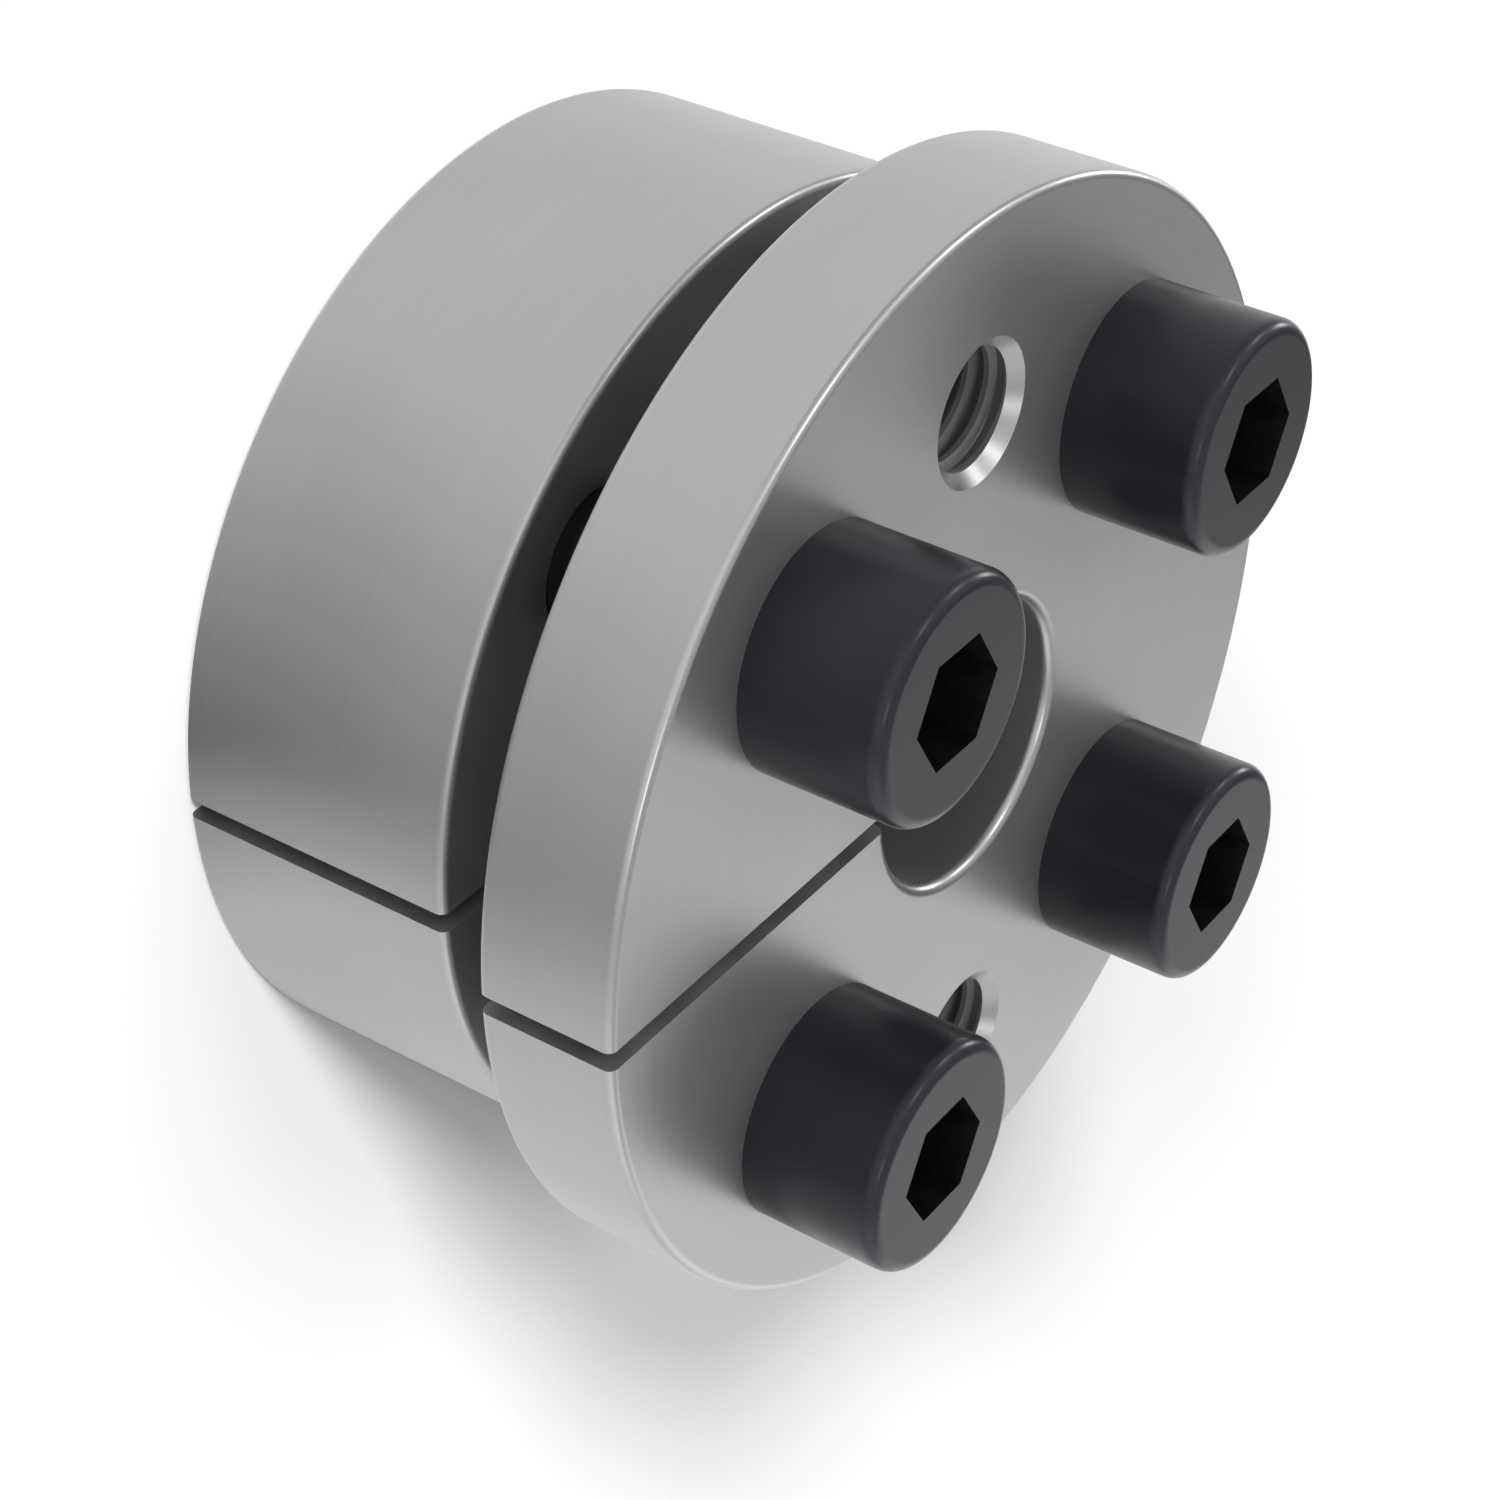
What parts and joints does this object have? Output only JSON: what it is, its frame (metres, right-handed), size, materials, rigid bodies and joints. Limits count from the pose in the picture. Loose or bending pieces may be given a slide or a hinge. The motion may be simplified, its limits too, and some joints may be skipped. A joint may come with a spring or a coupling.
{
  "type": "shaft locking assembly",
  "caption": "Keyless shaft locking assembly: a slit flanged inner ring and a slit outer ring on one taper, drawn together by socket head screws.",
  "frame": {"origin": "on the shaft axis, at the outer ring's rear face", "axes": "+Z along the shaft axis towards the screw heads, +Y through the upper jacking hole, both slits at -X"},
  "size_m": [0.062, 0.062, 0.038],
  "materials": {
    "ring_steel": "fine turned steel, satin, with smoothly rounded bright edges",
    "screw_steel": "black oxide, smooth satin"
  },
  "bodies": {
    "root": {"outer_ring": "ring_steel", "inner_ring": "ring_steel", "clamp_screw_1": "screw_steel", "clamp_screw_2": "screw_steel", "clamp_screw_3": "screw_steel", "clamp_screw_4": "screw_steel"}
  },
  "joints": []
}
